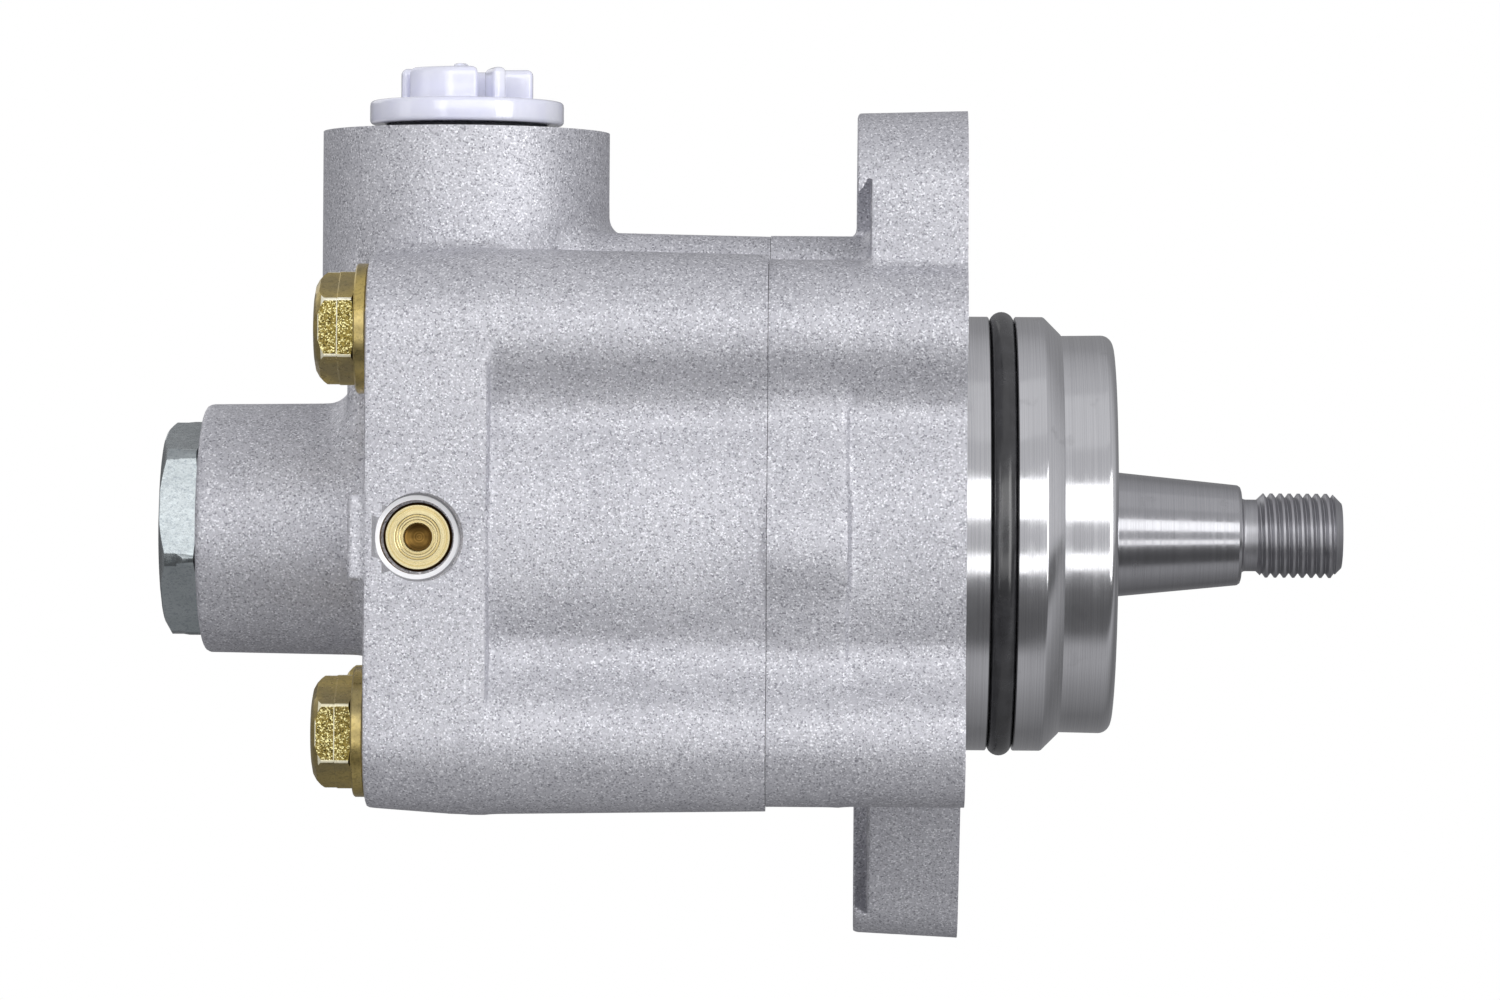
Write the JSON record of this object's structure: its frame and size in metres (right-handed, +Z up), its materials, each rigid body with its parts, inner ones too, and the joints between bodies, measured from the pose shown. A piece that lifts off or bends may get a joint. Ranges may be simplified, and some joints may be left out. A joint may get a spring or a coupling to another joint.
{
  "type": "power steering vane pump",
  "caption": "Hydraulic vane pump with a tapered drive shaft, two-lug flange, centring pilot and a built-in flow control valve.",
  "frame": {"origin": "where the shaft axis meets the face of the mounting flange", "axes": "+X along the shaft towards its threaded end, +Z up towards the suction port, +Y towards the pressure port"},
  "size_m": [0.1949, 0.0997, 0.1458],
  "materials": {
    "cast_aluminium": "blasted casting with machined faces",
    "black_rubber": "moulded, slightly oily",
    "yellow_zinc_steel": "yellow-passivated zinc",
    "blue_zinc_steel": "blue-white zinc",
    "hard_steel": "hardened and ground",
    "ground_steel": "turned and ground",
    "bearing_steel": "polished",
    "spring_steel": "phosphated",
    "sintered_iron": "lapped",
    "bronze": "machined",
    "brass": "turned",
    "white_plastic": "moulded, slightly translucent"
  },
  "bodies": {
    "housing": {"rear_housing": "cast_aluminium", "front_housing": "cast_aluminium", "housing_o_ring": "black_rubber", "housing_bolts": "yellow_zinc_steel", "bolt_washers": "yellow_zinc_steel", "pilot_o_ring": "black_rubber", "cam_ring": "hard_steel", "front_side_plate": "sintered_iron", "rear_pressure_plate": "sintered_iron", "pressure_plate_o_ring": "black_rubber", "plate_spring": "spring_steel", "dowel_pins": "hard_steel", "rear_bush": "bronze", "bearing_outer_race": "bearing_steel", "bearing_circlip": "spring_steel", "shaft_seal_case": "spring_steel", "shaft_seal_lip": "black_rubber", "seal_garter_spring": "ground_steel", "valve_plug": "blue_zinc_steel", "valve_plug_o_ring": "black_rubber", "spool_spring": "spring_steel", "cross_drill_plug": "brass"},
    "shaft": {"drive_shaft": "ground_steel", "rotor": "hard_steel", "vanes": "hard_steel", "shaft_circlip": "spring_steel", "bearing_inner_race": "bearing_steel"},
    "ball_cage": {"bearing_cage": "bronze", "bearing_balls": "bearing_steel"},
    "spool": {"flow_spool": "hard_steel", "relief_seat": "hard_steel", "relief_spring": "spring_steel"},
    "relief_valve": {"relief_ball": "bearing_steel", "relief_guide": "hard_steel"},
    "plug": {"suction_plug": "white_plastic", "suction_plug_o_ring": "black_rubber"}
  },
  "joints": [
    {"name": "shaft_spin", "type": "hinge", "parent": "housing", "child": "shaft", "pos_m": [0, 0, 0], "axis": [1, 0, 0], "continuous": true},
    {"name": "cage_spin", "type": "hinge", "parent": "housing", "child": "ball_cage", "pos_m": [0, 0, 0], "axis": [1, 0, 0], "continuous": true},
    {"name": "spool_slide", "type": "slide", "parent": "housing", "child": "spool", "axis": [-1, 0, 0], "range_m": [0, 0.006], "stiffness_N_per_m": 6000, "springref_m": -0.004, "deforming": ["spool_spring"]},
    {"name": "relief_lift", "type": "slide", "parent": "spool", "child": "relief_valve", "axis": [1, 0, 0], "range_m": [0, 0.0008], "stiffness_N_per_m": 15000, "springref_m": -0.002, "deforming": ["relief_spring"]},
    {"name": "plug_pull", "type": "slide", "parent": "housing", "child": "plug", "axis": [0, 0, 1], "range_m": [0, 0.025]}
  ],
  "couplings": [
    {"joint": "cage_spin", "follows": "shaft_spin", "ratio": 0.3969}
  ]
}
